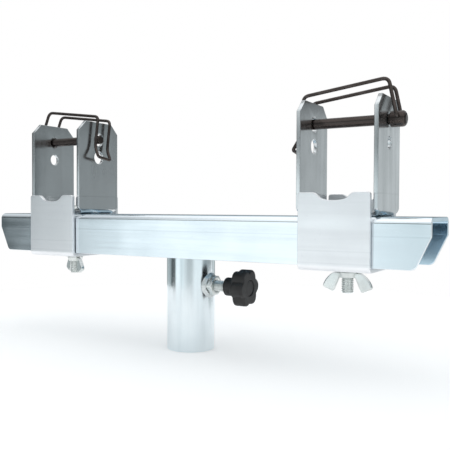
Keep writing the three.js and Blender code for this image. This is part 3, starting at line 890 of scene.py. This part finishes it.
def knob_pieces():
    """A collar, a six-lobed grip with rounded shoulders, and a cap in the grip's round recess."""
    low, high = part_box("knob_body")
    cap_low, cap_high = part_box("knob_cap")
    height, cap = (cap_low.z + cap_high.z) / 2, (cap_high.z - cap_low.z) / 2
    hub, recess, fillet, sides = mm(8.3), cap + mm(0.3), mm(2.0), 144
    start, front = low.x + mm(11.4), high.x  # of the grip

    collar = [(hub - mm(0.6), low.x), (hub - mm(0.15), low.x + mm(0.2)), (hub, low.x + mm(0.7)),
              (hub, start - mm(1.2)), (hub + mm(0.25), start - mm(0.5)), (hub + mm(0.9), start - mm(0.05)),
              (hub + mm(1.6), start + mm(0.05))]
    quarter = [math.pi / 2 * i / 6 for i in range(7)]
    grip = [(fillet * (1 - math.sin(a)), start + fillet * (1 - math.cos(a))) for a in quarter]
    grip += [(fillet * (1 - math.cos(a)), front - fillet + fillet * math.sin(a)) for a in quarter]
    well = [(recess + mm(0.5), front), (recess + mm(0.12), front - mm(0.15)), (recess, front - mm(0.5)),
            (recess, front - mm(2.3))]
    ring = turns(sides)
    verts = [along_x(radius, x, angle, height) for radius, x in collar for angle in ring]
    verts += [along_x(knob_lobe(angle) - pull, x, angle, height) for pull, x in grip for angle in ring]
    verts += [along_x(radius, x, angle, height) for radius, x in well for angle in ring]
    shell = (verts, shell_faces(len(collar + grip + well), sides))
    even_shading(add_piece("knob_moulding", shell, "plastic", "clamp_screw", "knob_body"))

    crown = [(cap, 0), (cap, 0.9), (cap - mm(0.25), 1.2), (cap - mm(0.8), 1.35), (cap * 0.5, 1.4),
             (mm(0.3), 1.4)]
    shell = turned_x([(radius, cap_low.x + mm(run)) for radius, run in crown], height, 64)
    even_shading(add_piece("knob_cap_moulding", shell, "plastic", "clamp_travel",
                           "knob_cap"))


channel_piece()
socket_piece()
socket_weld_piece()
clamp_nut_piece()
nut_weld_piece()
clamp_screw_piece()
knob_pieces()
for side in SIDES:
    saddle_piece(side)
    fork_piece(side)
    clamp_bolt_piece(side)
    washer_piece(side)
    wing_nut_piece(side)
    pin_pieces(side)
    bail_piece(side)


# ---------------------------------------------------------------- floor, world and light
FLOOR_RADIUS, FLOOR_GLOW = 0.5, 0.2
STUDIO_RING = (  # (degrees from +X towards +Y, brightness, blueness)
    (0, 0.50, 0.5), (25, 0.44, 0.4), (45, 0.36, 0.4), (60, 0.42, 0.2), (76, 0.78, 0.1), (105, 0.36, 0.6),
    (140, 0.24, 0.8), (160, 0.6, 0.5), (190, 0.4, 0.7), (200, 0.12, 0.9), (222, 0.10, 0.9), (228, 1.1, 0.4),
    (236, 1.25, 0.25), (249, 1.22, 0.25), (256, 0.8, 0.8), (264, 1.0, 0.4), (274, 0.9, 0.3), (290, 0.6, 0.3),
    (308, 0.62, 0.3), (320, 1.1, 0.2), (345, 1.1, 0.2),
)
STUDIO_RISE = (  # (height of the direction, brightness): a dark gap between the ring and the ceiling
    (0.0, 1.0), (0.13, 1.0), (0.17, 0.25), (0.3, 0.3), (0.42, 1.0),
)
CEILING = (0.95, 0.98, 1.0)
SOFTBOX_HEIGHT, SOFTBOX_SIZE, SOFTBOX_POWER = 2.2, 3.6, 12


def make_floor():
    """A pale disc, small enough that the bar's sides reflect the studio and not the floor."""
    verts = [FLOOR_RADIUS * Vector((math.cos(angle), math.sin(angle), 0)) for angle in turns(96)]
    mesh = bpy.data.meshes.new("floor")
    mesh.from_pydata(verts, [], [tuple(range(len(verts)))])
    material, nodes, shader = new_material("pale_floor", 0.0)
    shader.inputs["Roughness"].default_value = 0.9
    shader.inputs["Specular IOR Level"].default_value = 0.1
    shader.inputs["Emission Color"].default_value = (1, 1, 1, 1)
    shader.inputs["Emission Strength"].default_value = FLOOR_GLOW
    cloudy = nodes.noise(scale=3, detail=2)
    connect(nodes, shader, Base_Color=nodes.mix(cloudy, (0.93, 0.93, 0.93), (0.96, 0.96, 0.96)))
    mesh.materials.append(material)
    floor = bpy.data.objects.new("floor", mesh)
    bpy.context.scene.collection.objects.link(floor)


def make_world():
    """White to the camera. In what the metal reflects, a ring of light and dark studio panels."""
    world = bpy.data.worlds.new("studio")
    bpy.context.scene.world = world
    world.use_nodes = True
    nodes = Nodes(world.node_tree)
    background = world.node_tree.nodes["Background"]
    direction = nodes.add("ShaderNodeTexCoord").outputs["Generated"]
    x, y, z = nodes.add("ShaderNodeSeparateXYZ", {"Vector": direction}).outputs

    heading = nodes.math("ARCTAN2", y, x)
    turn = nodes.math("FRACT", nodes.math("ADD", nodes.math("DIVIDE", heading, 2 * math.pi), 1.0))
    peak = max(level for _, level, _ in STUDIO_RING)
    stops = []  # a ramp's colours stay within 1, so the levels are shares of the peak
    for degrees, level, blue in STUDIO_RING:
        share = level / peak
        stops.append((degrees / 360, (share * (1 - 0.16 * blue), share * (1 - 0.03 * blue), share)))
    panels = nodes.mix(1.0, nodes.ramp(turn, stops), (peak,) * 3, "MULTIPLY")

    gap = nodes.ramp(z, [(height, (level * 0.93, level * 0.98, level)) for height, level in STUDIO_RISE])
    ceiling = nodes.mix(nodes.remap(z, 0.5, 0.9, 0.6, 0), CEILING, panels)
    walls = nodes.mix(1.0, panels, gap, "MULTIPLY")
    glow = nodes.mix(nodes.remap(z, 0.3, 0.5, 0, 1), walls, ceiling)
    camera_ray = nodes.add("ShaderNodeLightPath").outputs["Is Camera Ray"]
    nodes.tree.links.new(nodes.mix(camera_ray, glow, (1.0, 1.0, 1.0)), background.inputs["Color"])
    background.inputs["Strength"].default_value = 1.0


def make_softbox():
    """One wide soft light straight above, pointing down."""
    data = bpy.data.lights.new("top_softbox", "AREA")
    data.shape = "RECTANGLE"
    data.size = data.size_y = SOFTBOX_SIZE
    data.energy = SOFTBOX_POWER
    light = bpy.data.objects.new("top_softbox", data)
    light.location = (0, 0, SOFTBOX_HEIGHT)
    bpy.context.scene.collection.objects.link(light)


make_floor()
make_world()
make_softbox()
bpy.context.scene.view_settings.view_transform = "Standard"
